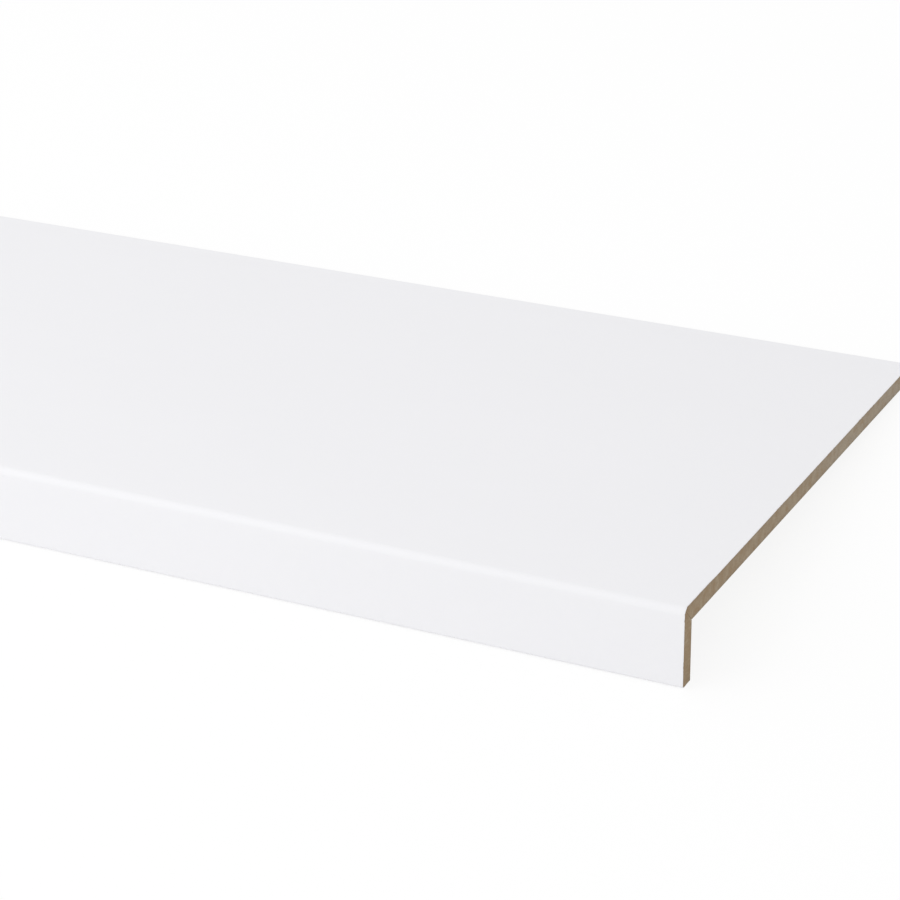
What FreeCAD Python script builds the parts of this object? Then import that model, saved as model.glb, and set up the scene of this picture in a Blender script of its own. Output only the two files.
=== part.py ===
"""Window sill board for covering an old sill: a thin fibreboard with a folded-down front lip and a white facing foil.

The section is drawn level, with the sharp top front corner of the finished board at the origin of the sketches, Y to
the back and Z up. The pieces are then tipped together into the pose in which the board lies on a level floor: on the
back lower edge of its lip and the lower edge of its back. Millimetres.
"""
import FreeCAD, Part
import os

import Sketcher

V = FreeCAD.Vector

doc = FreeCAD.newDocument("window_sill_board")

# Driving sizes
sizes = doc.addObject("Spreadsheet::Sheet", "sizes")
sizes.Label = "sizes"

DRIVING_SIZES = (
    ("board_length", "1000", "length of the stock along the window"),
    ("board_depth", "300", "front of the lip to the back edge"),
    ("core_thickness", "8", "fibreboard of the board"),
    ("lip_thickness", "8", "fibreboard of the lip"),
    ("foil_thickness", "0.3", "white facing foil"),
    ("lip_height", "37", "top of the board to the foot of the lip, over the foil"),
    ("nose_radius", "4", "outside of the rounded front corner, over the foil"),
    ("foot_radius", "1.4", "outside of the rounded front lower corner, over the foil"),
    ("foil_turn_under", "4", "front of the lip to the foil's trimmed edge under its foot"),
)

for row, (alias, value, meaning) in enumerate(DRIVING_SIZES, start=1):
    sizes.set("A%d" % row, alias)
    sizes.set("B%d" % row, value)
    sizes.set("C%d" % row, meaning)
    sizes.setAlias("B%d" % row, alias)
doc.recompute()

# Lines of the section in terms of the driving sizes, as distances back from the front face or down from the top face
INNER_BACK = "(sizes.lip_thickness + sizes.foil_thickness)"
INNER_DOWN = "(sizes.core_thickness + sizes.foil_thickness)"
FOOT_DOWN = "(sizes.lip_height - sizes.foil_thickness)"
CORE_NOSE = "(sizes.nose_radius - sizes.foil_thickness)"
CORE_FOOT = "(sizes.foot_radius - sizes.foil_thickness)"

# The pose at rest: the floor touches the lip's back lower edge and the board's back lower edge
TILT = "atan((%s - %s) / (sizes.board_depth - %s))" % (FOOT_DOWN, INNER_DOWN, INNER_BACK)
FRONT_MOST = "(sizes.foot_radius * (cos(%s) - 1) + (sizes.foot_radius - sizes.lip_height) * sin(%s))" % (TILT, TILT)
BACK_MOST = "(sizes.board_depth * cos(%s))" % TILT
LOWEST = "(-%s * sin(%s) - %s * cos(%s))" % (INNER_BACK, TILT, FOOT_DOWN, TILT)
REST_POSE = "placement(vector(0; -(%s + %s) / 2; -%s); rotation(vector(1; 0; 0); -%s))" % (
    FRONT_MOST,
    BACK_MOST,
    LOWEST,
    TILT,
)

# Names of a sketch's own points and axes
START, END, CENTRE = 1, 2, 3
ORIGIN, POINT = -1, 1


def length(name):
    """The number that the sheet holds under a name, for a sketch's first outline."""
    return float(sizes.get(name))


def section_sketch(body, name):
    """A sketch on the plane across the board: its X is the board's depth, its Y is up."""
    sketch = body.newObject("Sketcher::SketchObject", name)
    plane = [part for part in body.Origin.OriginFeatures if part.Role == "YZ_Plane"][0]
    sketch.AttachmentSupport = [(plane, "")]
    sketch.MapMode = "FlatFace"
    return sketch


def line(sketch, start, end):
    return sketch.addGeometry(Part.LineSegment(V(start[0], start[1], 0), V(end[0], end[1], 0)), False)


def arc(sketch, centre, radius, first, last):
    """A round corner, counter-clockwise from the angle first to the angle last, in degrees."""
    circle = Part.Circle(V(centre[0], centre[1], 0), V(0, 0, 1), radius)
    to_radians = 3.141592653589793 / 180
    return sketch.addGeometry(Part.ArcOfCircle(circle, first * to_radians, last * to_radians), False)


def rule(sketch, kind, *what):
    return sketch.addConstraint(Sketcher.Constraint(kind, *what))


def sized(sketch, name, expression, kind, *what):
    """A dimension that follows the sheet. It starts at what the drawn outline measures."""
    index = sketch.addConstraint(Sketcher.Constraint(kind, *what))
    sketch.renameConstraint(index, name)
    sketch.setExpression("Constraints." + name, expression)
    return index


def back_of_front(sketch, name, expression, geometry, point, now):
    """A point's distance back from the front face."""
    sized(sketch, name, expression, "DistanceX", ORIGIN, POINT, geometry, point, now)


def below_top(sketch, name, expression, geometry, point, now):
    """A point's distance down from the top face."""
    sized(sketch, name, expression, "DistanceY", geometry, point, ORIGIN, POINT, now)


def new_piece(name):
    body = doc.addObject("PartDesign::Body", name)
    body.Label = name
    return body


def pad_along_board(body, sketch):
    """The section drawn out along the board, half to each side, and the piece laid in its pose."""
    pad = body.newObject("PartDesign::Pad", body.Name + "_run")
    pad.Profile = sketch
    pad.SideType = "Symmetric"
    pad.setExpression("Length", "sizes.board_length")
    pad.Refine = False
    body.Tip = pad
    body.setExpression("Placement", REST_POSE)
    return pad


depth = length("board_depth")
foil = length("foil_thickness")
inner_back = length("lip_thickness") + foil
inner_down = length("core_thickness") + foil
lip_down = length("lip_height")
foot_down = lip_down - foil
nose = length("nose_radius")
foot = length("foot_radius")
turn = length("foil_turn_under")
diagonal = 0.5**0.5
mitre_out = nose - (nose - foil) * diagonal

# Sill board: the flat fibreboard, its front edge mitred and rounded to the lip
sill_board = new_piece("sill_board")
sketch = section_sketch(sill_board, "sill_board_section")
underside = line(sketch, (inner_back, -inner_down), (depth, -inner_down))
back_edge = line(sketch, (depth, -inner_down), (depth, -foil))
top_face = line(sketch, (depth, -foil), (nose, -foil))
nose_arc = arc(sketch, (nose, -nose), nose - foil, 90, 135)
mitre = line(sketch, (mitre_out, -mitre_out), (inner_back, -inner_down))
rule(sketch, "Coincident", underside, END, back_edge, START)
rule(sketch, "Coincident", back_edge, END, top_face, START)
rule(sketch, "Tangent", top_face, END, nose_arc, START)
rule(sketch, "Coincident", nose_arc, END, mitre, START)
rule(sketch, "Coincident", mitre, END, underside, START)
rule(sketch, "Horizontal", underside)
rule(sketch, "Vertical", back_edge)
rule(sketch, "Horizontal", top_face)
rule(sketch, "PointOnObject", nose_arc, CENTRE, mitre)
back_of_front(sketch, "depth", "sizes.board_depth", back_edge, START, depth)
back_of_front(sketch, "inner_corner_back", INNER_BACK, underside, START, inner_back)
below_top(sketch, "inner_corner_down", INNER_DOWN, underside, START, inner_down)
below_top(sketch, "core_top", "sizes.foil_thickness", top_face, START, foil)
back_of_front(sketch, "nose_centre_back", "sizes.nose_radius", nose_arc, CENTRE, nose)
below_top(sketch, "nose_centre_down", "sizes.nose_radius", nose_arc, CENTRE, nose)
pad_along_board(sill_board, sketch)

# Nose lip: the strip folded down at the front, glued to the board along the mitre
nose_lip = new_piece("nose_lip")
sketch = section_sketch(nose_lip, "nose_lip_section")
back_face = line(sketch, (inner_back, -inner_down), (inner_back, -foot_down))
foot_face = line(sketch, (inner_back, -foot_down), (foot, -foot_down))
foot_arc = arc(sketch, (foot, foot - lip_down), foot - foil, 180, 270)
front_face = line(sketch, (foil, foot - lip_down), (foil, -nose))
nose_arc = arc(sketch, (nose, -nose), nose - foil, 135, 180)
mitre = line(sketch, (mitre_out, -mitre_out), (inner_back, -inner_down))
rule(sketch, "Coincident", back_face, END, foot_face, START)
rule(sketch, "Tangent", foot_face, END, foot_arc, END)
rule(sketch, "Tangent", foot_arc, START, front_face, START)
rule(sketch, "Tangent", front_face, END, nose_arc, END)
rule(sketch, "Coincident", nose_arc, START, mitre, START)
rule(sketch, "Coincident", mitre, END, back_face, START)
rule(sketch, "Vertical", back_face)
rule(sketch, "Horizontal", foot_face)
rule(sketch, "Vertical", front_face)
rule(sketch, "PointOnObject", nose_arc, CENTRE, mitre)
back_of_front(sketch, "inner_corner_back", INNER_BACK, back_face, START, inner_back)
below_top(sketch, "inner_corner_down", INNER_DOWN, back_face, START, inner_down)
below_top(sketch, "foot_down", FOOT_DOWN, back_face, END, foot_down)
back_of_front(sketch, "core_front", "sizes.foil_thickness", front_face, START, foil)
back_of_front(sketch, "nose_centre_back", "sizes.nose_radius", nose_arc, CENTRE, nose)
below_top(sketch, "nose_centre_down", "sizes.nose_radius", nose_arc, CENTRE, nose)
sized(sketch, "foot_rounding", CORE_FOOT, "Radius", foot_arc, foot - foil)
pad_along_board(nose_lip, sketch)

# Face foil: one white skin over the top, round the nose, down the lip's front and turned under its foot
face_foil = new_piece("face_foil")
sketch = section_sketch(face_foil, "face_foil_section")
top_outer = line(sketch, (depth, 0), (nose, 0))
nose_outer = arc(sketch, (nose, -nose), nose, 90, 180)
front_outer = line(sketch, (0, -nose), (0, foot - lip_down))
foot_outer = arc(sketch, (foot, foot - lip_down), foot, 180, 270)
turn_outer = line(sketch, (foot, -lip_down), (turn, -lip_down))
trimmed_edge = line(sketch, (turn, -lip_down), (turn, -foot_down))
turn_inner = line(sketch, (turn, -foot_down), (foot, -foot_down))
foot_inner = arc(sketch, (foot, foot - lip_down), foot - foil, 180, 270)
front_inner = line(sketch, (foil, foot - lip_down), (foil, -nose))
nose_inner = arc(sketch, (nose, -nose), nose - foil, 90, 180)
top_inner = line(sketch, (nose, -foil), (depth, -foil))
back_outer = line(sketch, (depth, -foil), (depth, 0))
rule(sketch, "Tangent", top_outer, END, nose_outer, START)
rule(sketch, "Tangent", nose_outer, END, front_outer, START)
rule(sketch, "Tangent", front_outer, END, foot_outer, START)
rule(sketch, "Tangent", foot_outer, END, turn_outer, START)
rule(sketch, "Coincident", turn_outer, END, trimmed_edge, START)
rule(sketch, "Coincident", trimmed_edge, END, turn_inner, START)
rule(sketch, "Tangent", turn_inner, END, foot_inner, END)
rule(sketch, "Tangent", foot_inner, START, front_inner, START)
rule(sketch, "Tangent", front_inner, END, nose_inner, END)
rule(sketch, "Tangent", nose_inner, START, top_inner, START)
rule(sketch, "Coincident", top_inner, END, back_outer, START)
rule(sketch, "Coincident", back_outer, END, top_outer, START)
rule(sketch, "Coincident", nose_inner, CENTRE, nose_outer, CENTRE)
rule(sketch, "Coincident", foot_inner, CENTRE, foot_outer, CENTRE)
rule(sketch, "Horizontal", top_outer)
rule(sketch, "Vertical", front_outer)
rule(sketch, "Horizontal", turn_outer)
rule(sketch, "Vertical", trimmed_edge)
rule(sketch, "Vertical", back_outer)
rule(sketch, "Horizontal", turn_inner)
rule(sketch, "Horizontal", top_inner)
rule(sketch, "PointOnObject", top_outer, END, -1)
rule(sketch, "PointOnObject", front_outer, START, -2)
sized(sketch, "nose_rounding", "sizes.nose_radius", "Radius", nose_outer, nose)
sized(sketch, "foot_rounding", "sizes.foot_radius", "Radius", foot_outer, foot)
sized(sketch, "nose_under_foil", CORE_NOSE, "Radius", nose_inner, nose - foil)
sized(sketch, "foot_under_foil", CORE_FOOT, "Radius", foot_inner, foot - foil)
back_of_front(sketch, "depth", "sizes.board_depth", back_outer, START, depth)
below_top(sketch, "foot_down", "sizes.lip_height", turn_outer, END, lip_down)
back_of_front(sketch, "trim_back", "sizes.foil_turn_under", turn_outer, END, turn)
pad_along_board(face_foil, sketch)

doc.recompute()

# Nothing is written unless every object of the document came out right
pieces = (sill_board, nose_lip, face_foil)
for item in doc.Objects:
    if "Invalid" in item.State or "Error" in item.State:
        raise RuntimeError("%s did not build: %s" % (item.Name, item.State))
    if item.TypeId == "Sketcher::SketchObject":
        if item.solve() != 0:
            raise RuntimeError("%s does not solve" % item.Name)
        if not item.FullyConstrained:
            raise RuntimeError("%s is not fully constrained" % item.Name)
for piece in pieces:
    shape = piece.Shape
    if shape.isNull() or not shape.isValid() or len(shape.Solids) != 1 or shape.Volume <= 0:
        raise RuntimeError("%s is not one valid solid" % piece.Label)

os.makedirs("parts", exist_ok=True)
for piece in pieces:
    piece.Shape.exportStep("parts/%s.step" % piece.Label)
    box = piece.Shape.BoundBox
    print(
        "%s: volume %.1f mm3, x %.3f to %.3f, y %.3f to %.3f, z %.3f to %.3f"
        % (piece.Label, piece.Shape.Volume, box.XMin, box.XMax, box.YMin, box.YMax, box.ZMin, box.ZMax)
    )
print("tilt of the board at rest: %.3f degrees" % abs(sill_board.Placement.Rotation.getYawPitchRoll()[2]))
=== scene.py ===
"""Window sill board: foil-faced fibreboard with a folded lip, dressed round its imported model.

The file is laid out as an add-on and run as a script. The section is drawn level, in the board's own
directions, from its front face and its top face. The board then lies tipped back on the floor, as in the
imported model, on the foot of its lip and on its back edge.
"""
import math

import bmesh
import bpy
from mathutils import Matrix, Vector, noise


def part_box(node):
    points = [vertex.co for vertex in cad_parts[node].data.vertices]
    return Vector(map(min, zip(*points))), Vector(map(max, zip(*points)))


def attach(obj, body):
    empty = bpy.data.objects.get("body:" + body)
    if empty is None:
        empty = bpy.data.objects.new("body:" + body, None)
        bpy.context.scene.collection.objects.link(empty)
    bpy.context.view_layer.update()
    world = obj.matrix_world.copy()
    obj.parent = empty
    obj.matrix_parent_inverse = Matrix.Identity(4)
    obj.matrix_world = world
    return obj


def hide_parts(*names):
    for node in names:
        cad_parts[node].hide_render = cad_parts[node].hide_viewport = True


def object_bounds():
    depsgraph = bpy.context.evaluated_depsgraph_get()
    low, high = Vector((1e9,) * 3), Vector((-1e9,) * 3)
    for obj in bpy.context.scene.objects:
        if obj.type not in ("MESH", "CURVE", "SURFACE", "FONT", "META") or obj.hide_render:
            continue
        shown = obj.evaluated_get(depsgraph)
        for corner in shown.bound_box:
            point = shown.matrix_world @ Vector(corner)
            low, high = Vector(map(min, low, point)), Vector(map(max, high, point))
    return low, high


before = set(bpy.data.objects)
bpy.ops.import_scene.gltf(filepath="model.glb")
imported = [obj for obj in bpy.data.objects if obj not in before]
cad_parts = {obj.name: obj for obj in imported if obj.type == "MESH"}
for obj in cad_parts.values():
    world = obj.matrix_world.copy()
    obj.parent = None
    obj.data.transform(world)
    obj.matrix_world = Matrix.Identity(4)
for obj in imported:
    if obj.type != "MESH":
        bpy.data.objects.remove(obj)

bl_info = {
    "name": "Window sill board",
    "version": (1, 0, 0),
    "blender": (4, 5, 0),
    "location": "3D View > Sidebar > Sill board",
    "description": "Builds a foil-faced fibreboard window sill board and the studio that it lies in",
    "category": "Object",
}

CAD_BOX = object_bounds()
MM = 0.001
BODY = "root"

# Spacing of the meshes' points
FOIL_PITCH = 0.7 * MM
FOIL_RIM = 1.5 * MM
FOIL_BAYS = 16
SHOULDER_ROWS = 8
NOSE_ROWS = 18
TOE_ROWS = 15
TOE_EASING = 0.4 * MM
ARRIS_PITCH = 2.5 * MM

# Tests that pick points, edges and faces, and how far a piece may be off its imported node
TOUCH = 1e-7
SQUARE_FROM = math.radians(60)
SHARP_FROM = math.radians(25)
SHORTEST_ARRIS = 1.5 * MM
FACING = 0.6
NODE_SLACK = 0.15 * MM

# The share of the mitre that stays closed
MITRE_CLOSED = 0.4

# Foil's cut edges: nicks are counted per millimetre, and the chip's places are shares of its length
FOIL_EDGE_ROUND = 0.06 * MM
FINE_NICKS = 0.8
BROAD_NICKS = 0.11
NICK_THRESHOLD = 0.22
NICK_STEEPNESS = 3.0
CHIP_DEEPEST_AT = 0.07
CHIP_EVEN_DEPTH = 0.64
CHIP_RUNS_IN = 0.04
CHIP_RUNS_OUT = 0.2

# Fibreboard's worn arrises, whose wear changes so many times a metre, and the noise's seeds
WEAR_SCALE = 420
WEAR_SHARE = 0.25
END_SEED = 3.7
BOARD_SEED = 3.1
LIP_SEED = 7.7

# Foil
FOIL_IOR = 1.48
FOIL_WAVE_DEPTH = 0.020 * MM
FOIL_GRAIN_DEPTH = 0.020 * MM
TONE_DRIFT_SIZE = 90 * MM
SHEEN_SWING = 0.05

# Fibreboard: noise that is stretched is given per metre along, across and through the sheet
FIBREBOARD_IOR = 1.36
FELT_SIZE = 0.45 * MM
DUST_SIZE = 0.22 * MM
MOTTLE_SIZE = 5 * MM
SANDED_MOTTLE = 0.3
GREYING_WANDER = 60 * MM
GREYED_BY = 0.28
GLUE_FULL_WITHIN = 0.10 * MM
GLUE_GONE_BEYOND = 0.34 * MM
GLUE_RAGGED = 0.12 * MM
WAVE_PERIOD = 0.314
SKIN_AND_SHADE_RAGGED = (400, 400, 900)
SANDING_STREAKS = (40, 2500, 2500)
SAWN_RELIEF = 0.10 * MM
SANDED_RELIEF = 0.03 * MM

# Floor, lamp and camera
WHITE = (1.0, 1.0, 1.0, 1.0)
FLOOR_HALF = 6.0
FLOOR_BAYS = 8
FLOOR_FADE = (0.6, 1.8)
KEY_AIM = Vector((0.2, -0.05, 0.0))
KEY_SIDE = Vector((-0.467, -0.519, 0.716))
KEY_SPREAD = 0.78
CAMERA_PLACE = Vector((0.87997, -1.06922, 0.65643))
CAMERA_RIGHT = Vector((0.8966922, 0.4396154, -0.0517821))
CAMERA_UP = Vector((-0.1691938, 0.4484837, 0.8776308))


# Sizes and finishes that a user would change


class SillSection(bpy.types.PropertyGroup):
    """Sizes of the board's section and stock."""

    board_length: bpy.props.FloatProperty(
        name="Board length",
        description="Length of the stock along the window",
        default=CAD_BOX[1].x - CAD_BOX[0].x,
        min=0.05,
        unit="LENGTH",
        subtype="DISTANCE",
    )
    board_depth: bpy.props.FloatProperty(
        name="Board depth",
        description="Front of the lip to the back edge",
        default=300 * MM,
        unit="LENGTH",
        subtype="DISTANCE",
    )
    sheet_thickness: bpy.props.FloatProperty(
        name="Fibreboard thickness",
        description="Thickness of the board and of the lip, without the foil",
        default=8 * MM,
        unit="LENGTH",
        subtype="DISTANCE",
    )
    foil_thickness: bpy.props.FloatProperty(
        name="Foil thickness",
        description="Thickness of the white facing foil",
        default=0.3 * MM,
        precision=5,
        unit="LENGTH",
        subtype="DISTANCE",
    )
    lip_height: bpy.props.FloatProperty(
        name="Lip height",
        description="Top of the board to the foot of the lip",
        default=37 * MM,
        unit="LENGTH",
        subtype="DISTANCE",
    )
    nose_radius: bpy.props.FloatProperty(
        name="Nose radius",
        description="Outside radius of the rounded front corner",
        default=4 * MM,
        unit="LENGTH",
        subtype="DISTANCE",
    )
    shoulder_run: bpy.props.FloatProperty(
        name="Nose shoulder",
        description="Distance before the nose's arc over which the flat faces start to fall away",
        default=8 * MM,
        min=0.5 * MM,
        unit="LENGTH",
        subtype="DISTANCE",
    )
    shoulder_lean: bpy.props.FloatProperty(
        name="Shoulder lean",
        description="How far the faces have leaned over where the nose's arc starts",
        default=math.radians(2.5),
        min=0.0,
        unit="ROTATION",
        subtype="ANGLE",
    )
    foot_radius: bpy.props.FloatProperty(
        name="Foot radius",
        description="Outside radius of the lip's front lower corner",
        default=1.4 * MM,
        unit="LENGTH",
        subtype="DISTANCE",
    )
    foil_turn_under: bpy.props.FloatProperty(
        name="Foil turned under",
        description="Front of the lip to the foil's trimmed edge under the foot",
        default=4 * MM,
        unit="LENGTH",
        subtype="DISTANCE",
    )
    nick_depth: bpy.props.FloatProperty(
        name="Foil nicks",
        description="Depth of the small nicks that the saw leaves in the foil's cut edge",
        default=0.15 * MM,
        precision=5,
        unit="LENGTH",
        subtype="DISTANCE",
    )
    nose_chip_depth: bpy.props.FloatProperty(
        name="Nose chip depth",
        description="How far the foil's cut edge is broken back beside the nose at the right end",
        default=0.5 * MM,
        precision=5,
        unit="LENGTH",
        subtype="DISTANCE",
    )
    nose_chip_length: bpy.props.FloatProperty(
        name="Nose chip length",
        description="Length of that broken stretch, from the nose back",
        default=32 * MM,
        unit="LENGTH",
        subtype="DISTANCE",
    )
    mitre_gap: bpy.props.FloatProperty(
        name="Mitre gap",
        description="How far the folded mitre stands open at the inner corner",
        default=0.25 * MM,
        precision=5,
        unit="LENGTH",
        subtype="DISTANCE",
    )
    arris: bpy.props.FloatProperty(
        name="Worn arris",
        description="How far the bare fibreboard's sharp edges are softened",
        default=0.06 * MM,
        precision=5,
        unit="LENGTH",
        subtype="DISTANCE",
    )


class FoilFinish(bpy.types.PropertyGroup):
    """Colour and surface of the white facing foil."""

    colour: bpy.props.FloatVectorProperty(
        name="Foil colour",
        description="Colour of the white foil",
        default=(0.880, 0.878, 0.900),
        size=3,
        min=0.0,
        max=1.0,
        subtype="COLOR",
    )
    roughness: bpy.props.FloatProperty(
        name="Foil roughness",
        description="Satin sheen of the foil, from mirror to matt",
        default=0.60,
        min=0.0,
        max=1.0,
        subtype="FACTOR",
    )
    grain_size: bpy.props.FloatProperty(
        name="Foil grain",
        description="Spacing of the foil's fine embossed grain",
        default=0.35 * MM,
        precision=5,
        unit="LENGTH",
        subtype="DISTANCE",
    )
    wave_size: bpy.props.FloatProperty(
        name="Foil waviness",
        description="Spacing of the faint waves that show through from the fibreboard",
        default=9 * MM,
        unit="LENGTH",
        subtype="DISTANCE",
    )


class FibreboardFinish(bpy.types.PropertyGroup):
    """Colours and fibre sizes of the bare fibreboard."""

    core_colour: bpy.props.FloatVectorProperty(
        name="Core colour",
        description="Colour of the coarser middle of the sheet",
        default=(0.324, 0.238, 0.147),
        size=3,
        min=0.0,
        max=1.0,
        subtype="COLOR",
    )
    # Darker colour towards the sheet's faces: partly the dense skins' own colour, partly painted shade
    # along the cut ends' edges.
    skin_and_edge_shade_colour: bpy.props.FloatVectorProperty(
        name="Skin colour",
        description="Colour of the dense outer layers of the sheet",
        default=(0.285, 0.209, 0.131),
        size=3,
        min=0.0,
        max=1.0,
        subtype="COLOR",
    )
    grey_colour: bpy.props.FloatVectorProperty(
        name="Greyed colour",
        description="Colour of the sheet's middle towards its back edge, where it is a little greyer",
        default=(0.364, 0.309, 0.240),
        size=3,
        min=0.0,
        max=1.0,
        subtype="COLOR",
    )
    rust_colour: bpy.props.FloatVectorProperty(
        name="Warm patch colour",
        description="Colour of the darker and warmer patches in the fibreboard",
        default=(0.290, 0.190, 0.100),
        size=3,
        min=0.0,
        max=1.0,
        subtype="COLOR",
    )
    pale_colour: bpy.props.FloatVectorProperty(
        name="Pale patch colour",
        description="Colour of the paler and greyer patches in the fibreboard",
        default=(0.430, 0.355, 0.250),
        size=3,
        min=0.0,
        max=1.0,
        subtype="COLOR",
    )
    fibre_colour: bpy.props.FloatVectorProperty(
        name="Dark fibre colour",
        description="Colour of the darker fibres and bark specks",
        default=(0.160, 0.107, 0.062),
        size=3,
        min=0.0,
        max=1.0,
        subtype="COLOR",
    )
    fibre_length: bpy.props.FloatProperty(
        name="Fibre length",
        description="Length of the fibre bundles along the sheet",
        default=0.9 * MM,
        unit="LENGTH",
        subtype="DISTANCE",
    )
    fibre_width: bpy.props.FloatProperty(
        name="Fibre width",
        description="Width of the fibre bundles across the sheet's thickness",
        default=0.16 * MM,
        precision=5,
        unit="LENGTH",
        subtype="DISTANCE",
    )
    saw_pitch: bpy.props.FloatProperty(
        name="Saw mark pitch",
        description="Spacing of the saw's marks on the cut ends",
        default=1.9 * MM,
        unit="LENGTH",
        subtype="DISTANCE",
    )


class Studio(bpy.types.PropertyGroup):
    """Floor, light and lens."""

    floor_colour: bpy.props.FloatVectorProperty(
        name="Floor colour",
        description="Colour of the plain pale floor",
        default=(0.93, 0.93, 0.93),
        size=3,
        min=0.0,
        max=1.0,
        subtype="COLOR",
    )
    floor_lift: bpy.props.FloatProperty(
        name="Floor brightness",
        description="Share of the floor that the camera sees as plain white; the rest keeps the shadow",
        default=0.88,
        min=0.0,
        max=1.0,
        subtype="FACTOR",
    )
    sky_strength: bpy.props.FloatProperty(
        name="Ambient light",
        description="Strength of the even light from all round",
        default=0.834,
        min=0.0,
    )
    key_power: bpy.props.FloatProperty(
        name="Key lamp power",
        description="Power of the large soft lamp at the front left",
        default=10.4,
        min=0.0,
        unit="POWER",
    )
    key_distance: bpy.props.FloatProperty(
        name="Key lamp distance",
        description="How far the key lamp stands from the board",
        default=1.93,
        min=0.5,
        unit="LENGTH",
        subtype="DISTANCE",
    )
    lens: bpy.props.FloatProperty(
        name="Lens",
        description="Focal length of the camera",
        default=113.6,
        min=1.0,
        unit="CAMERA",
    )


# The section, level, in metres: (back from the front face, up from the top face)


def sizes():
    """The board's sizes, as the scene holds them."""
    return bpy.context.scene.sill_section


def inner_corner():
    """Where the board's underside meets the lip's back face."""
    s = sizes()
    reach = s.sheet_thickness + s.foil_thickness
    return reach, -reach


def lip_foot():
    """Height of the lip's bare foot."""
    s = sizes()
    return s.foil_thickness - s.lip_height


def toe_centre():
    """Centre of the round at the lip's front lower corner."""
    s = sizes()
    return s.foot_radius, s.foot_radius - s.lip_height


def tilt():
    """The angle by which the board leans back at rest."""
    back, up = inner_corner()
    return math.atan2(up - lip_foot(), sizes().board_depth - back)


def rest_pose():
    """Carries the level section to the board lying on the floor."""
    s = sizes()
    lean = tilt()
    back, _ = inner_corner()
    front_most = s.foot_radius * (math.cos(lean) - 1) + (s.foot_radius - s.lip_height) * math.sin(lean)
    back_most = s.board_depth * math.cos(lean)
    lowest = -back * math.sin(lean) + lip_foot() * math.cos(lean)
    move = Matrix.Translation((0, -(front_most + back_most) / 2, -lowest))
    return move @ Matrix.Rotation(-lean, 4, "X")


def divided(first, last, count):
    """Even points from the first to just before the last."""
    points = []
    for i in range(count):
        along = i / count
        points.append((first[0] + (last[0] - first[0]) * along, first[1] + (last[1] - first[1]) * along))
    return points


def toe_round(inset):
    """The lip's front lower corner, from its front face to its foot, inset from the foil's outside."""
    back, up = toe_centre()
    radius = sizes().foot_radius - inset
    points = []
    for i in range(TOE_ROWS + 1):
        angle = math.radians(180 + 90 * i / TOE_ROWS)
        points.append((back + radius * math.cos(angle), up + radius * math.sin(angle)))
    return points


def nose_arc():
    """Radius of the nose between its shoulders, and how far its centre is from the front and the top.

    The middle of the nose is where a plain arc of the nose radius would have it.
    """
    s = sizes()
    fall = s.shoulder_run * s.shoulder_lean / 3
    crest = (math.sqrt(2) - 1) * s.nose_radius
    radius = (crest - math.sqrt(2) * fall) / (math.sqrt(2) * math.cos(s.shoulder_lean) - 1)
    return radius, radius * math.cos(s.shoulder_lean) + fall


def nose_half(inset):
    """The nose from the flat top to its middle, inset from the foil's outside.

    Pressed foil and board have soft shoulders: the top falls away a little before the arc.
    """
    s = sizes()
    radius, centre = nose_arc()
    start = centre - radius * math.sin(s.shoulder_lean) + s.shoulder_run
    points = []
    for i in range(SHOULDER_ROWS):
        along = i / SHOULDER_ROWS
        lean = s.shoulder_lean * along ** 2
        back = start - s.shoulder_run * along
        up = -s.shoulder_run * s.shoulder_lean * along ** 3 / 3
        points.append((back + inset * math.sin(lean), up - inset * math.cos(lean)))
    reach = radius - inset
    for i in range(NOSE_ROWS + 1):
        lean = s.shoulder_lean + (math.pi / 4 - s.shoulder_lean) * i / NOSE_ROWS
        points.append((centre - reach * math.sin(lean), reach * math.cos(lean) - centre))
    return points


def mirrored(points):
    """The same points on the nose's other side, in the same order along the section."""
    return [(-up, -back) for back, up in reversed(points)]


def foil_line(inset):
    """One side of the foil, from the back edge over the nose to the trimmed edge under the foot."""
    s = sizes()
    nose = nose_half(inset)
    front = mirrored(nose)
    above_toe = (inset, toe_centre()[1] + TOE_EASING)
    count = round((s.board_depth - nose[0][0]) / FOIL_PITCH)
    line = divided((s.board_depth, -inset), nose[0], count) + nose
    count = round((front[-1][1] - above_toe[1]) / FOIL_PITCH)
    line += front[1:-1] + divided(front[-1], above_toe, count) + [above_toe]
    line += toe_round(inset) + [(s.foil_turn_under, inset - s.lip_height)]
    return line


def mitre_opens():
    """Where the mitre starts to stand open."""
    start = nose_half(sizes().foil_thickness)[-1][0]
    end, _ = inner_corner()
    middle = start + (end - start) * MITRE_CLOSED
    return middle, -middle


def mitre_setback():
    """How far each of the mitre's two corners is drawn back along its sheet at the inner corner."""
    return sizes().mitre_gap / 2 * math.sqrt(2)


# Meshes


def check_against_node(obj, node):
    """Stops if a piece isn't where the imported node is."""
    low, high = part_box(node)
    points = [v.co for v in obj.data.vertices]
    for axis in range(3):
        under = min(p[axis] for p in points) - low[axis]
        over = max(p[axis] for p in points) - high[axis]
        if max(abs(under), abs(over)) > NODE_SLACK:
            raise RuntimeError(f"{obj.name} is off {node} by {under:.6f}, {over:.6f} m")


def new_piece(name, bm, node, materials):
    """Turns a level mesh into a piece at rest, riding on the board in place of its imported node."""
    bm.transform(rest_pose())
    bmesh.ops.recalc_face_normals(bm, faces=bm.faces[:])
    mesh = bpy.data.meshes.new(name)
    bm.to_mesh(mesh)
    bm.free()
    mesh.shade_smooth()
    mesh.set_sharp_from_angle(angle=SHARP_FROM)
    for material in materials:
        mesh.materials.append(material)
    obj = bpy.data.objects.new(name, mesh)
    bpy.context.scene.collection.objects.link(obj)
    check_against_node(obj, node)
    level = obj.modifiers.new("level_faces", "WEIGHTED_NORMAL")
    level.mode = "FACE_AREA"
    level.keep_sharp = True
    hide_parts(node)
    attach(obj, BODY)


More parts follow.
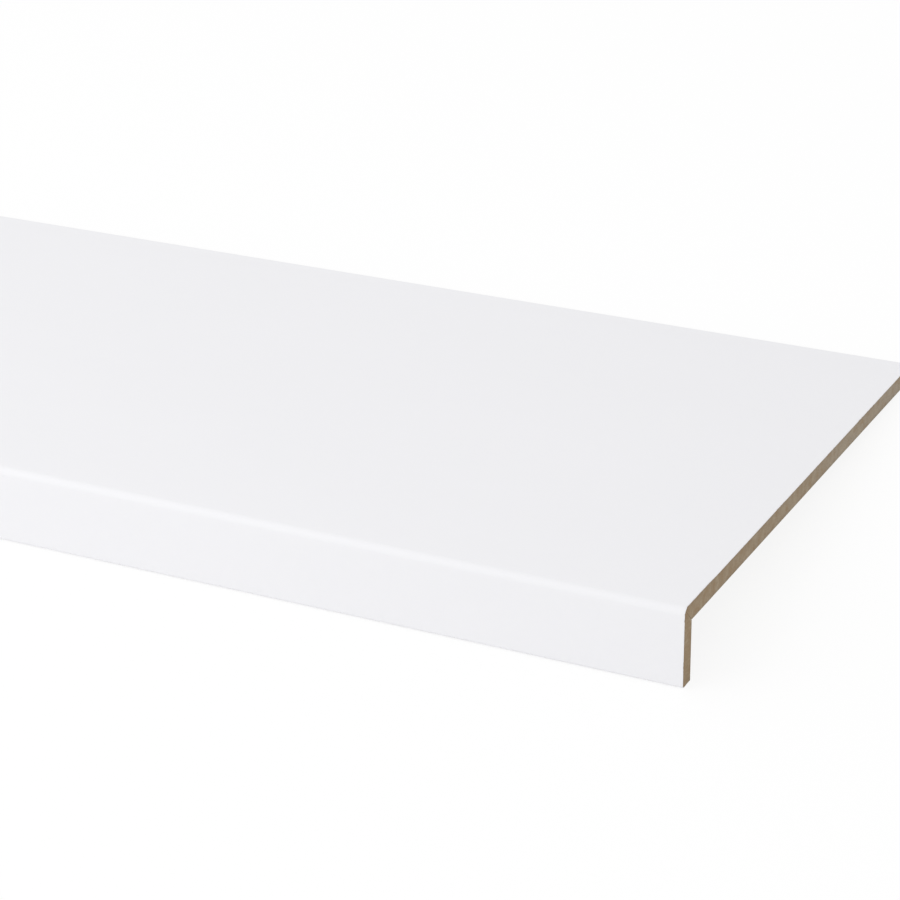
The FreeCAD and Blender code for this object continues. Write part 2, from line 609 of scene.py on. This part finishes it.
def in_cut_end(edge):
    """True if an edge lies in one of the cut ends."""
    half = sizes().board_length / 2
    return all(abs(abs(v.co.x) - half) < TOUCH for v in edge.verts)


def round_over(bm, edges, width):
    """Rounds edges off by that width, in two steps. Returns the new points."""
    made = bmesh.ops.bevel(
        bm,
        geom=edges,
        offset=width,
        segments=2,
        profile=0.5,
        affect="EDGES",
        clamp_overlap=True,
    )
    return made["verts"]


def stations():
    """Places along the board where the foil has a row of points."""
    half = sizes().board_length / 2
    inner = half - FOIL_RIM
    return [-half] + [-inner + 2 * inner * i / FOIL_BAYS for i in range(FOIL_BAYS + 1)] + [half]


def build_foil():
    """The foil as one closed skin between its outer and its inner line."""
    outer = foil_line(0.0)
    inner = foil_line(sizes().foil_thickness)
    bm = bmesh.new()
    rows = []
    for x in stations():
        outside = [bm.verts.new((x, y, z)) for y, z in outer]
        inside = [bm.verts.new((x, y, z)) for y, z in inner]
        rows.append((outside, inside))
    last = len(outer) - 1
    for (out_a, in_a), (out_b, in_b) in zip(rows, rows[1:]):
        for i in range(last):
            bm.faces.new((out_a[i], out_a[i + 1], out_b[i + 1], out_b[i]))
            bm.faces.new((in_a[i + 1], in_a[i], in_b[i], in_b[i + 1]))
        bm.faces.new((out_a[0], out_b[0], in_b[0], in_a[0]))
        bm.faces.new((out_a[last], in_a[last], in_b[last], out_b[last]))
    for outside, inside in (rows[0], rows[-1]):
        for i in range(last):
            bm.faces.new((outside[i], outside[i + 1], inside[i + 1], inside[i]))
    soften_foil_edges(bm, {vert for outside, _ in rows for vert in outside})
    nick_cut_edges(bm)
    return bm


def soften_foil_edges(bm, outside):
    """A hair of rounding where the foil's outside meets its cut ends and its back edge."""
    bmesh.ops.recalc_face_normals(bm, faces=bm.faces[:])
    depth = sizes().board_depth
    chosen = []
    for edge in bm.edges:
        if len(edge.link_faces) != 2 or edge.calc_face_angle(0) < SQUARE_FROM:
            continue
        at_back = all(abs(v.co.y - depth) < TOUCH for v in edge.verts)
        if (in_cut_end(edge) or at_back) and all(v in outside for v in edge.verts):
            chosen.append(edge)
    round_over(bm, chosen, FOIL_EDGE_ROUND)


def saw_nick(fine, spot):
    """How deep the saw's nick is at a spot in millimetres, from 0 to 1. Most of the edge has none."""
    broad = noise.noise(spot * BROAD_NICKS)
    return min(1.0, max(0.0, fine + 0.6 * broad - NICK_THRESHOLD) * NICK_STEEPNESS)


def nose_chip(along):
    """Depth of the chip beside the nose, from 0 to 1, at a share of its length.

    It is deepest close to the nose, shallower and even further back, and runs out at both ends.
    """
    peak = math.exp(-((along - CHIP_DEEPEST_AT) / CHIP_DEEPEST_AT) ** 2)
    depth = CHIP_EVEN_DEPTH + (1.0 - CHIP_EVEN_DEPTH) * peak
    return depth * min(1.0, along / CHIP_RUNS_IN, (1.0 - along) / CHIP_RUNS_OUT)


def nick_cut_edges(bm):
    """Breaks the foil back a little along its two cut ends, as a saw does.

    At the right end it is chipped most beside the nose.
    """
    s = sizes()
    half = s.board_length / 2
    chip_start = s.nose_radius * 0.6
    for vert in bm.verts:
        if abs(vert.co.x) <= half - FOIL_RIM / 2:
            continue
        side = math.copysign(1.0, vert.co.x)
        spot = Vector((side * END_SEED, vert.co.y / MM, vert.co.z / MM))
        fine = noise.noise(spot * FINE_NICKS)
        amount = s.nick_depth * saw_nick(fine, spot)
        along = (vert.co.y - chip_start) / s.nose_chip_length
        if side > 0 and 0 < along < 1 and vert.co.z > -s.nose_radius / 2:
            amount = max(amount, s.nose_chip_depth * nose_chip(along) * (0.9 + 0.4 * fine))
        inside = min(1.0, -vert.co.z / s.foil_thickness) if vert.co.y > s.nose_radius else 0.5
        vert.co.x -= side * amount * (1.0 - 0.3 * inside)


def prism(outline):
    """A closed bar with that outline, as long as the board, with one face to each side."""
    half = sizes().board_length / 2
    bm = bmesh.new()
    left = [bm.verts.new((-half, y, z)) for y, z in outline]
    right = [bm.verts.new((half, y, z)) for y, z in outline]
    bm.faces.new(left)
    bm.faces.new(list(reversed(right)))
    for i in range(len(outline)):
        j = (i + 1) % len(outline)
        bm.faces.new((left[j], left[i], right[i], right[j]))
    bmesh.ops.recalc_face_normals(bm, faces=bm.faces[:])
    return bm


def split_edge(edge, pitch):
    """Splits an edge into equal parts about pitch long, without cutting its faces. Returns the parts."""
    count = max(1, round(edge.calc_length() / pitch))
    parts = [edge]
    for left in range(count, 1, -1):
        start = parts[-1].verts[0]
        new_edge, _ = bmesh.utils.edge_split(parts[-1], start, 1.0 / left)
        parts.append(new_edge)
        if start in parts[-1].verts:
            parts[-1], parts[-2] = parts[-2], parts[-1]
    return parts


def wear_arrises(bm, exposed, flats, seed):
    """Softens the bare fibreboard's sharp edges a little unevenly, as sawn fibres break away.

    exposed(edge, middle) picks the edges. flats are outer planes, as (point, normal), which stay flat, as
    the two cut ends do.
    """
    s = sizes()
    half = s.board_length / 2
    planes = [(Vector((side * half, 0, 0)), Vector((side, 0, 0))) for side in (1, -1)] + flats
    chosen = []
    for edge in bm.edges:
        middle = (edge.verts[0].co + edge.verts[1].co) / 2
        if edge.calc_length() > SHORTEST_ARRIS and exposed(edge, middle):
            chosen.append(edge)
    parts = []
    for edge in chosen:
        parts += split_edge(edge, ARRIS_PITCH)
    for vert in round_over(bm, parts, s.arris):
        spot = vert.co * WEAR_SCALE + Vector((seed, seed * 2, seed * 3))
        wear = max(0.0, 1.0 + noise.noise(spot) + 0.35 * noise.noise(spot * 2.7))
        inward = -vert.normal * (s.arris * WEAR_SHARE * wear)
        for point, normal in planes:
            if abs((vert.co - point).dot(normal)) < TOUCH:
                inward -= normal * inward.dot(normal)
        vert.co += inward


def mark_faces(bm, sawn):
    """Gives sawn faces the first material and the rest the second.

    Faces with more than four sides are cut into triangles.
    """
    bmesh.ops.recalc_face_normals(bm, faces=bm.faces[:])
    for face in bm.faces:
        face.material_index = 0 if sawn(face) else 1
    many_sided = [face for face in bm.faces if len(face.verts) > 4]
    bmesh.ops.triangulate(bm, faces=many_sided, quad_method="BEAUTY", ngon_method="BEAUTY")


def build_board():
    """The flat fibreboard, mitred and rounded at the front, with the mitre open at the inner corner."""
    s = sizes()
    back, up = inner_corner()
    top = -s.foil_thickness
    outline = [(back + mitre_setback(), up), (s.board_depth, up), (s.board_depth, top)]
    outline += nose_half(s.foil_thickness) + [mitre_opens()]
    bm = prism(outline)

    def exposed(edge, middle):
        under = abs(middle.z - up) < TOUCH
        rear = abs(middle.y - s.board_depth) < TOUCH
        if in_cut_end(edge):
            return (under and middle.y > back) or (rear and middle.z < top)
        return under and (rear or middle.y < back + s.sheet_thickness)

    underside = (Vector((0, 0, up)), Vector((0, 0, -1)))
    back_edge = (Vector((0, s.board_depth, 0)), Vector((0, 1, 0)))
    bm.normal_update()
    wear_arrises(bm, exposed, [underside, back_edge], BOARD_SEED)
    mark_faces(bm, lambda face: abs(face.normal.x) > FACING or face.normal.y > FACING)
    return bm


def build_lip():
    """The fibreboard strip folded down at the front, with a rounded front lower corner."""
    s = sizes()
    back, up = inner_corner()
    foot = lip_foot()
    outline = [(back, up - mitre_setback()), (back, foot), (s.foil_turn_under, foot)]
    outline += list(reversed(toe_round(s.foil_thickness)))
    outline += list(reversed(mirrored(nose_half(s.foil_thickness)))) + [mitre_opens()]
    bm = prism(outline)

    def exposed(edge, middle):
        rear = abs(middle.y - back) < TOUCH
        under = abs(middle.z - foot) < TOUCH
        if in_cut_end(edge):
            return rear or (under and middle.y > s.foil_turn_under)
        return rear

    underside = (Vector((0, 0, foot)), Vector((0, 0, -1)))
    back_face = (Vector((0, back, 0)), Vector((0, 1, 0)))
    bm.normal_update()
    wear_arrises(bm, exposed, [underside, back_face], LIP_SEED)
    mark_faces(bm, lambda face: abs(face.normal.x) > FACING or face.normal.z < -FACING)
    return bm


# Materials


class NodeBench:
    """Short calls for wiring one material's or world's nodes."""

    def __init__(self, tree):
        self.tree = tree
        tree.nodes.clear()

    def add(self, kind, values=(), **settings):
        """A new node with its settings and its inputs' values or links."""
        node = self.tree.nodes.new(kind)
        for key, value in settings.items():
            setattr(node, key, value)
        for key, value in dict(values).items():
            self.feed(node.inputs[key], value)
        return node

    def feed(self, socket, value):
        """Links a socket to an input, or writes a plain value into it."""
        if isinstance(value, bpy.types.NodeSocket):
            self.tree.links.new(value, socket)
        else:
            socket.default_value = value

    def math(self, operation, a, b=0.0):
        """The result of one operation on two values."""
        return self.add("ShaderNodeMath", {0: a, 1: b}, operation=operation).outputs[0]

    def stretch(self, vector, factors):
        """A vector times three factors, one to each direction."""
        return self.add("ShaderNodeVectorMath", {0: vector, 1: factors}, operation="MULTIPLY").outputs[0]

    def joined(self, **parts):
        """A vector from its X, Y and Z."""
        return self.add("ShaderNodeCombineXYZ", parts).outputs["Vector"]

    def cloud(self, vector, scale=1.0, detail=3.0, roughness=0.5, distortion=0.0):
        """Soft noise from 0 to 1, mostly near its middle."""
        node = self.add(
            "ShaderNodeTexNoise",
            {
                "Vector": vector,
                "Scale": scale,
                "Detail": detail,
                "Roughness": roughness,
                "Distortion": distortion,
            },
        )
        return node.outputs["Fac"]

    def swing(self, cloud, share):
        """A cloud's noise, centred on 0 and scaled."""
        return self.math("MULTIPLY", self.math("SUBTRACT", cloud, 0.5), share)

    def spread(self, value, low, high, to_low=0.0, to_high=1.0):
        """Stretches the range from low to high over another one, and holds it at both ends."""
        node = self.add(
            "ShaderNodeMapRange",
            {"Value": value, "From Min": low, "From Max": high, "To Min": to_low, "To Max": to_high},
            clamp=True,
        )
        return node.outputs["Result"]

    def blend(self, factor, a, b):
        """Mixes two colours, from a at 0 to b at 1."""
        node = self.add("ShaderNodeMix", data_type="RGBA", blend_type="MIX", clamp_factor=True)
        self.feed(node.inputs["Factor"], factor)
        self.feed(node.inputs["A"], a)
        self.feed(node.inputs["B"], b)
        return node.outputs["Result"]

    def overlay(self, base, colour, texture, starts, full, strength):
        """Lays a colour over the base, from nothing at the texture's start to its strength at full."""
        return self.blend(self.spread(texture, starts, full, 0.0, strength), base, rgba(colour))

    def bump(self, height, distance, strength=1.0, under=None):
        """A normal for relief of that depth, on top of another normal if there is one."""
        node = self.add("ShaderNodeBump", {"Height": height, "Strength": strength, "Distance": distance})
        if under is not None:
            self.feed(node.inputs["Normal"], under)
        return node.outputs["Normal"]

    def finish(self, colour, roughness, ior, normal):
        """Ends the material in a plain glossy surface."""
        shader = self.add(
            "ShaderNodeBsdfPrincipled",
            {"Base Color": colour, "Roughness": roughness, "IOR": ior, "Normal": normal},
        )
        self.add("ShaderNodeOutputMaterial", {"Surface": shader.outputs[0]})


def rgba(colour):
    """A colour with full alpha, as colour sockets take it."""
    return (colour[0], colour[1], colour[2], 1.0)


def new_material(name):
    """An empty node material and the bench for its nodes."""
    material = bpy.data.materials.new(name)
    material.use_nodes = True
    return material, NodeBench(material.node_tree)


def level_coordinates(bench):
    """Coordinates in the level board's own directions: along, back and up, in metres."""
    where = bench.add("ShaderNodeTexCoord").outputs["Object"]
    pose = rest_pose()
    level = bench.add("ShaderNodeMapping", {"Vector": where}, vector_type="TEXTURE")
    level.inputs["Location"].default_value = pose.to_translation()
    level.inputs["Rotation"].default_value = pose.to_euler()
    return level.outputs["Vector"]


def foil_material():
    """White satin foil: fine embossed grain, faint waves from the board, and hardly any change of tone."""
    foil = bpy.context.scene.foil_finish
    material, bench = new_material("white_satin_foil")
    spot = level_coordinates(bench)
    grain = bench.cloud(spot, 1 / foil.grain_size, 2.0, 0.55)
    waves = bench.cloud(spot, 1 / foil.wave_size, 2.0, 0.5)
    drift = bench.cloud(bench.stretch(spot, (0.5, 1.0, 1.0)), 1 / TONE_DRIFT_SIZE, 3.0, 0.5)
    tone = bench.math("ADD", bench.math("MULTIPLY", drift, 0.7), bench.math("MULTIPLY", waves, 0.3))
    plain = Vector(foil.colour)
    colour = bench.blend(bench.spread(tone, 0.3, 0.7), rgba(plain * 0.993), rgba(plain * 1.004))
    rough = bench.spread(
        bench.math("ADD", grain, waves),
        0.6,
        1.4,
        foil.roughness - SHEEN_SWING,
        foil.roughness + SHEEN_SWING,
    )
    normal = bench.bump(waves, FOIL_WAVE_DEPTH)
    normal = bench.bump(grain, FOIL_GRAIN_DEPTH, under=normal)
    bench.finish(colour, rough, FOIL_IOR, normal)
    return material


def sheet_tones(bench, board, sheet, across, depth):
    """The fibreboard's plain tones: darker towards its two faces, partly the dense skins' own colour and
    partly painted shade along the cut ends' edges, and a little greyer towards the back.
    """
    from_middle = bench.math("MULTIPLY", bench.math("ABSOLUTE", depth), 2 / sizes().sheet_thickness)
    ragged = bench.cloud(bench.stretch(sheet, SKIN_AND_SHADE_RAGGED), 1.0, 2.0)
    from_middle = bench.math("ADD", from_middle, bench.swing(ragged, 0.2))
    # Painted shade: the darker band towards both faces is partly the dense skins' own colour and partly
    # painted shade along the cut ends' edges.
    skin = bench.spread(from_middle, 0.55, 0.98)
    wander = bench.swing(bench.cloud(sheet, 1 / GREYING_WANDER, 2.0), 0.2)
    greyed = bench.spread(bench.math("ADD", across, wander), 0.0, GREYED_BY)
    middle = bench.blend(greyed, rgba(board.core_colour), rgba(board.grey_colour))
    faces = bench.blend(greyed, rgba(board.skin_and_edge_shade_colour), rgba(Vector(board.grey_colour) * 0.88))
    return bench.blend(skin, middle, faces)


def glue_line(bench, board, base, back, up, felt):
    """A thin brown line of glue along the mitre, laid over the base."""
    from_mitre = bench.math("ABSOLUTE", bench.math("ADD", back, up))
    from_mitre = bench.math("ADD", from_mitre, bench.math("MULTIPLY", felt, GLUE_RAGGED))
    glue = Vector(board.fibre_colour) * 0.8
    return bench.overlay(
        base,
        glue,
        from_mitre,
        starts=GLUE_GONE_BEYOND,
        full=GLUE_FULL_WITHIN,
        strength=0.6,
    )


def saw_marks(bench, board, along, across, depth):
    """Fine slanting waves left by the saw, from 0 to 1."""
    travel = bench.math("ADD", bench.math("ADD", along, across), bench.math("MULTIPLY", depth, 0.2))
    waves = bench.add(
        "ShaderNodeTexWave",
        {
            "Vector": bench.joined(X=travel),
            "Scale": WAVE_PERIOD / board.saw_pitch,
            "Distortion": 1.2,
            "Detail": 2.0,
            "Detail Scale": 1.5,
        },
        wave_profile="SIN",
    )
    return waves.outputs["Fac"]


def fibreboard_material(name, upright, sawn):
    """Bare fibreboard, whose fibres lie along the sheet.

    A sawn face shows them cut through, with the saw's marks, and a sanded one shows them lying flat.
    An upright sheet's thickness runs back instead of up.
    """
    board = bpy.context.scene.fibreboard_finish
    s = sizes()
    material, bench = new_material(name)
    level = bench.add("ShaderNodeSeparateXYZ", {"Vector": level_coordinates(bench)}).outputs
    along, back, up = level["X"], level["Y"], level["Z"]
    middle_plane = s.foil_thickness + s.sheet_thickness / 2
    if upright:
        across = up
        depth = bench.math("SUBTRACT", back, middle_plane)
    else:
        across = back
        depth = bench.math("ADD", up, middle_plane)
    sheet = bench.joined(X=along, Y=across, Z=depth)

    # Textures, from fibre bundles that lie along the sheet to broad patches
    long_way = 1 / board.fibre_length
    thin_way = 1 / board.fibre_width
    bundles = bench.cloud(bench.stretch(sheet, (long_way, long_way, thin_way)), 1.0, 4.0, 0.6, 0.5)
    felt = bench.cloud(sheet, 1 / FELT_SIZE, 3.0, 0.65, 0.3)
    dust = bench.cloud(sheet, 1 / DUST_SIZE, 1.0, 0.5)
    mottle = bench.cloud(sheet, 1 / MOTTLE_SIZE, 3.0, 0.55)

    # Warm and pale patches, pale fibres, dark fibres and bark specks, each laid over the last
    core = Vector(board.core_colour)
    patchy = 1.0 if sawn else SANDED_MOTTLE
    base = sheet_tones(bench, board, sheet, across, depth)
    base = bench.overlay(base, board.rust_colour, mottle, starts=0.52, full=0.66, strength=0.55 * patchy)
    base = bench.overlay(base, board.pale_colour, mottle, starts=0.48, full=0.34, strength=0.50 * patchy)
    base = bench.overlay(base, core * 1.35, felt, starts=0.52, full=0.70, strength=0.45)
    base = bench.overlay(base, core * 1.28, bundles, starts=0.54, full=0.76, strength=0.40)
    base = bench.overlay(base, board.fibre_colour, bundles, starts=0.45, full=0.28, strength=0.45)
    base = bench.overlay(base, board.fibre_colour, felt, starts=0.44, full=0.28, strength=0.35)
    base = bench.overlay(base, board.fibre_colour, dust, starts=0.26, full=0.18, strength=0.80)
    base = glue_line(bench, board, base, back, up, felt)

    # Relief and sheen
    height = bench.math("ADD", bench.math("MULTIPLY", bundles, 0.5), bench.math("MULTIPLY", felt, 0.5))
    if sawn:
        saw = saw_marks(bench, board, along, across, depth)
        base = bench.overlay(base, board.fibre_colour, saw, starts=1.0, full=0.0, strength=0.09)
        height = bench.math("ADD", height, bench.math("MULTIPLY", saw, 0.35))
        normal = bench.bump(height, SAWN_RELIEF, 0.8)
        rough = bench.spread(bundles, 0.3, 0.7, 0.97, 0.84)
    else:
        streaks = bench.cloud(bench.stretch(sheet, SANDING_STREAKS), 1.0, 2.0)
        base = bench.overlay(base, board.fibre_colour, streaks, starts=0.4, full=0.7, strength=0.12)
        height = bench.math("ADD", height, bench.math("MULTIPLY", streaks, 0.3))
        normal = bench.bump(height, SANDED_RELIEF, 0.7)
        rough = bench.spread(bundles, 0.3, 0.7, 0.86, 0.70)
    bench.finish(base, rough, FIBREBOARD_IOR, normal)
    return material


# Stage: floor, world, lamp and camera


def seen_directly(bench):
    """1 for rays that show the backdrop itself: the camera's, mirrored ones and those through glass."""
    path = bench.add("ShaderNodeLightPath").outputs
    straight = bench.math("MAXIMUM", path["Is Camera Ray"], path["Is Glossy Ray"])
    return bench.math("MAXIMUM", straight, path["Is Transmission Ray"])


def build_floor(studio):
    """A wide plain floor under the board, with its soft shadow on it. Far out it is plain white."""
    bm = bmesh.new()
    bmesh.ops.create_grid(bm, x_segments=FLOOR_BAYS, y_segments=FLOOR_BAYS, size=FLOOR_HALF)
    mesh = bpy.data.meshes.new("floor")
    bm.to_mesh(mesh)
    bm.free()
    material, bench = new_material("pale_floor")
    matt = bench.add("ShaderNodeBsdfDiffuse", {"Color": rgba(studio.floor_colour)})
    shaded = bench.add("ShaderNodeBsdfDiffuse", {"Color": WHITE})
    white = bench.add("ShaderNodeEmission", {"Color": WHITE, "Strength": 1.0})
    where = bench.add("ShaderNodeTexCoord").outputs["Object"]
    away = bench.add("ShaderNodeVectorMath", {0: where}, operation="LENGTH").outputs["Value"]
    lift = bench.spread(away, FLOOR_FADE[0], FLOOR_FADE[1], studio.floor_lift, 1.0)
    shown = bench.add("ShaderNodeMixShader", {0: lift, 1: shaded.outputs[0], 2: white.outputs[0]})
    direct = seen_directly(bench)
    mixed = bench.add("ShaderNodeMixShader", {0: direct, 1: matt.outputs[0], 2: shown.outputs[0]})
    bench.add("ShaderNodeOutputMaterial", {"Surface": mixed.outputs[0]})
    mesh.materials.append(material)
    floor = bpy.data.objects.new("floor", mesh)
    floor.location = (0, 0, CAD_BOX[0].z)
    bpy.context.scene.collection.objects.link(floor)


def build_world(studio):
    """Even pale light from all round, and plain white where the camera looks past the floor."""
    world = bpy.data.worlds.new("pale_room")
    world.use_nodes = True
    bench = NodeBench(world.node_tree)
    light = bench.add("ShaderNodeBackground", {"Color": WHITE, "Strength": studio.sky_strength})
    backdrop = bench.add("ShaderNodeBackground", {"Color": WHITE, "Strength": 1.0})
    direct = seen_directly(bench)
    mixed = bench.add("ShaderNodeMixShader", {0: direct, 1: light.outputs[0], 2: backdrop.outputs[0]})
    bench.add("ShaderNodeOutputWorld", {"Surface": mixed.outputs[0]})
    bpy.context.scene.world = world


def build_key_lamp(studio):
    """A large soft square panel of white light at the front left, facing the board."""
    data = bpy.data.lights.new("key_lamp", "AREA")
    data.shape = "SQUARE"
    data.size = studio.key_distance * KEY_SPREAD
    data.energy = studio.key_power
    lamp = bpy.data.objects.new("key_lamp", data)
    lamp.location = KEY_AIM + KEY_SIDE * studio.key_distance
    lamp.rotation_mode = "QUATERNION"
    lamp.rotation_quaternion = (KEY_AIM - lamp.location).to_track_quat("-Z", "Y")
    bpy.context.scene.collection.objects.link(lamp)


def build_camera(studio):
    """The photograph's viewpoint: from the front right, a little above."""
    data = bpy.data.cameras.new("camera")
    data.lens = studio.lens
    data.sensor_width = 36.0
    data.sensor_fit = "HORIZONTAL"
    data.clip_start = 0.05
    data.clip_end = 60.0
    camera = bpy.data.objects.new("camera", data)
    back = CAMERA_RIGHT.cross(CAMERA_UP)
    turn = Matrix((CAMERA_RIGHT, CAMERA_UP, back)).transposed().to_4x4()
    camera.matrix_world = Matrix.Translation(CAMERA_PLACE) @ turn
    bpy.context.scene.collection.objects.link(camera)
    bpy.context.scene.camera = camera


# Operators


class SILL_OT_sill_board(bpy.types.Operator):
    """Build the flat fibreboard of the sill board"""

    bl_idname = "sill.sill_board"
    bl_label = "Fibreboard"
    bl_options = {"REGISTER", "UNDO"}

    def execute(self, context):
        finishes = [
            fibreboard_material("board_sawn", upright=False, sawn=True),
            fibreboard_material("board_sanded", upright=False, sawn=False),
        ]
        new_piece("sill_board_fibreboard", build_board(), "sill_board", finishes)
        return {"FINISHED"}


class SILL_OT_nose_lip(bpy.types.Operator):
    """Build the fibreboard lip that is folded down at the front"""

    bl_idname = "sill.nose_lip"
    bl_label = "Folded lip"
    bl_options = {"REGISTER", "UNDO"}

    def execute(self, context):
        finishes = [
            fibreboard_material("lip_sawn", upright=True, sawn=True),
            fibreboard_material("lip_sanded", upright=True, sawn=False),
        ]
        new_piece("nose_lip_fibreboard", build_lip(), "nose_lip", finishes)
        return {"FINISHED"}


class SILL_OT_face_foil(bpy.types.Operator):
    """Build the white foil over the top, the nose and the lip"""

    bl_idname = "sill.face_foil"
    bl_label = "White foil"
    bl_options = {"REGISTER", "UNDO"}

    def execute(self, context):
        new_piece("face_foil_skin", build_foil(), "face_foil", [foil_material()])
        return {"FINISHED"}


class SILL_OT_stage(bpy.types.Operator):
    """Set up the floor, the even light, the lamp and the camera"""

    bl_idname = "sill.stage"
    bl_label = "Studio"
    bl_options = {"REGISTER", "UNDO"}

    def execute(self, context):
        studio = context.scene.sill_studio
        build_floor(studio)
        build_world(studio)
        build_key_lamp(studio)
        build_camera(studio)
        context.scene.view_settings.view_transform = "Standard"
        return {"FINISHED"}


class SILL_PT_sidebar(bpy.types.Panel):
    """Lists the board's pieces, its sizes and its finishes"""

    bl_label = "Window sill board"
    bl_idname = "SILL_PT_sidebar"
    bl_space_type = "VIEW_3D"
    bl_region_type = "UI"
    bl_category = "Sill board"

    def draw(self, context):
        column = self.layout.column(align=True)
        for operator in OPERATORS:
            column.operator(operator.bl_idname)
        for attribute in GROUPS:
            group = getattr(context.scene, attribute)
            box = self.layout.box()
            for key in group.bl_rna.properties.keys():
                if key not in {"rna_type", "name"}:
                    box.prop(group, key)


OPERATORS = (SILL_OT_sill_board, SILL_OT_nose_lip, SILL_OT_face_foil, SILL_OT_stage)
GROUPS = {
    "sill_section": SillSection,
    "foil_finish": FoilFinish,
    "fibreboard_finish": FibreboardFinish,
    "sill_studio": Studio,
}


def register():
    """Makes the operators, the panel and the scene's groups of sizes and finishes known to Blender."""
    for cls in (*GROUPS.values(), *OPERATORS, SILL_PT_sidebar):
        bpy.utils.register_class(cls)
    for attribute, cls in GROUPS.items():
        setattr(bpy.types.Scene, attribute, bpy.props.PointerProperty(type=cls))


def unregister():
    """Takes them away again."""
    for attribute in GROUPS:
        delattr(bpy.types.Scene, attribute)
    for cls in reversed((*GROUPS.values(), *OPERATORS, SILL_PT_sidebar)):
        bpy.utils.unregister_class(cls)


def main():
    """Builds the pieces and the stage."""
    register()
    bpy.ops.sill.sill_board()
    bpy.ops.sill.nose_lip()
    bpy.ops.sill.face_foil()
    bpy.ops.sill.stage()


if __name__ == "__main__":
    main()
